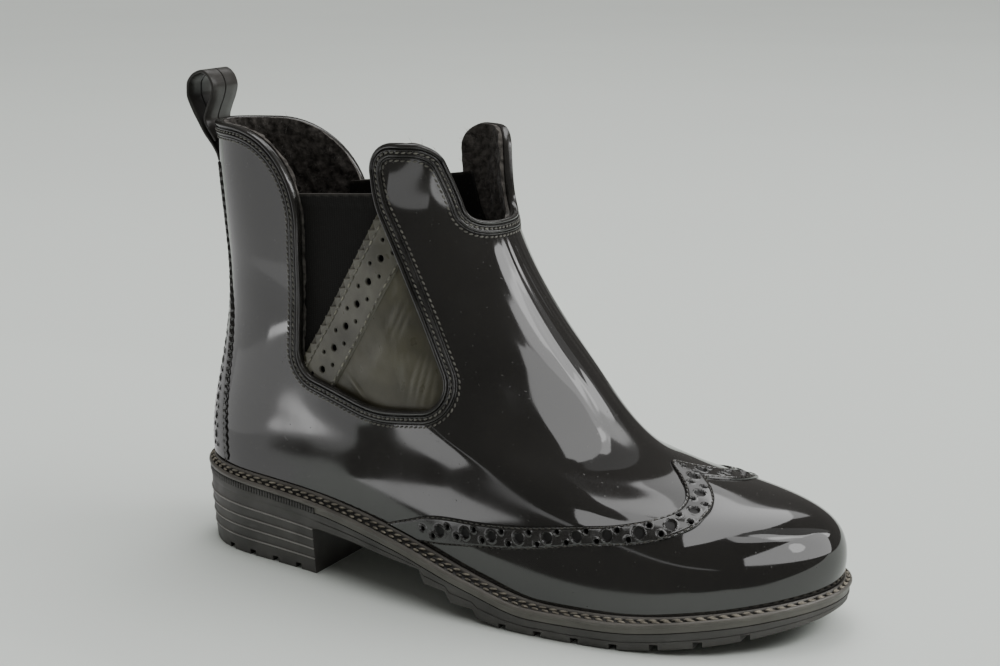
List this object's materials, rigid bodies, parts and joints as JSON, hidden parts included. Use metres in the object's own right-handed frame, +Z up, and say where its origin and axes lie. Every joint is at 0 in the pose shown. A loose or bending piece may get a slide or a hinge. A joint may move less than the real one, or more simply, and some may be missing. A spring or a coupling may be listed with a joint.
{
  "type": "rubber ankle boot",
  "caption": "Right pull-on ankle boot in glossy rubber with elastic side gores, perforated wing-tip trim, stitched welt, stacked lugged heel and a pull loop at the back.",
  "frame": {"origin": "middle of the heel tread, on the floor", "axes": "+X from heel to toe, +Y to the inner (big-toe) side, +Z up"},
  "size_m": [0.2822, 0.1, 0.1951],
  "materials": {
    "gloss_rubber": "mirror gloss, black",
    "satin_rubber": "satin, brown-black",
    "trim_rubber": "matt, perforated, grey-brown",
    "elastic": "ribbed elastic webbing, black",
    "olive_panel": "satin, olive-brown",
    "sole_rubber": "matt, dark grey-brown",
    "loop_rubber": "woven ribbon, grey-black",
    "footbed": "felted, black"
  },
  "bodies": {
    "root": {"upper": "gloss_rubber", "collar_binding": "gloss_rubber", "gore_lateral": "elastic", "gore_medial": "elastic", "gore_panel_lateral": "olive_panel", "gore_panel_medial": "olive_panel", "gore_strip_lateral": "olive_panel", "gore_strip_medial": "olive_panel", "wing_strip": "trim_rubber", "back_strip_lateral": "trim_rubber", "back_strip_medial": "trim_rubber", "welt": "satin_rubber", "outsole": "sole_rubber", "heel": "sole_rubber", "insole": "footbed", "pull_loop": "loop_rubber"}
  },
  "joints": []
}
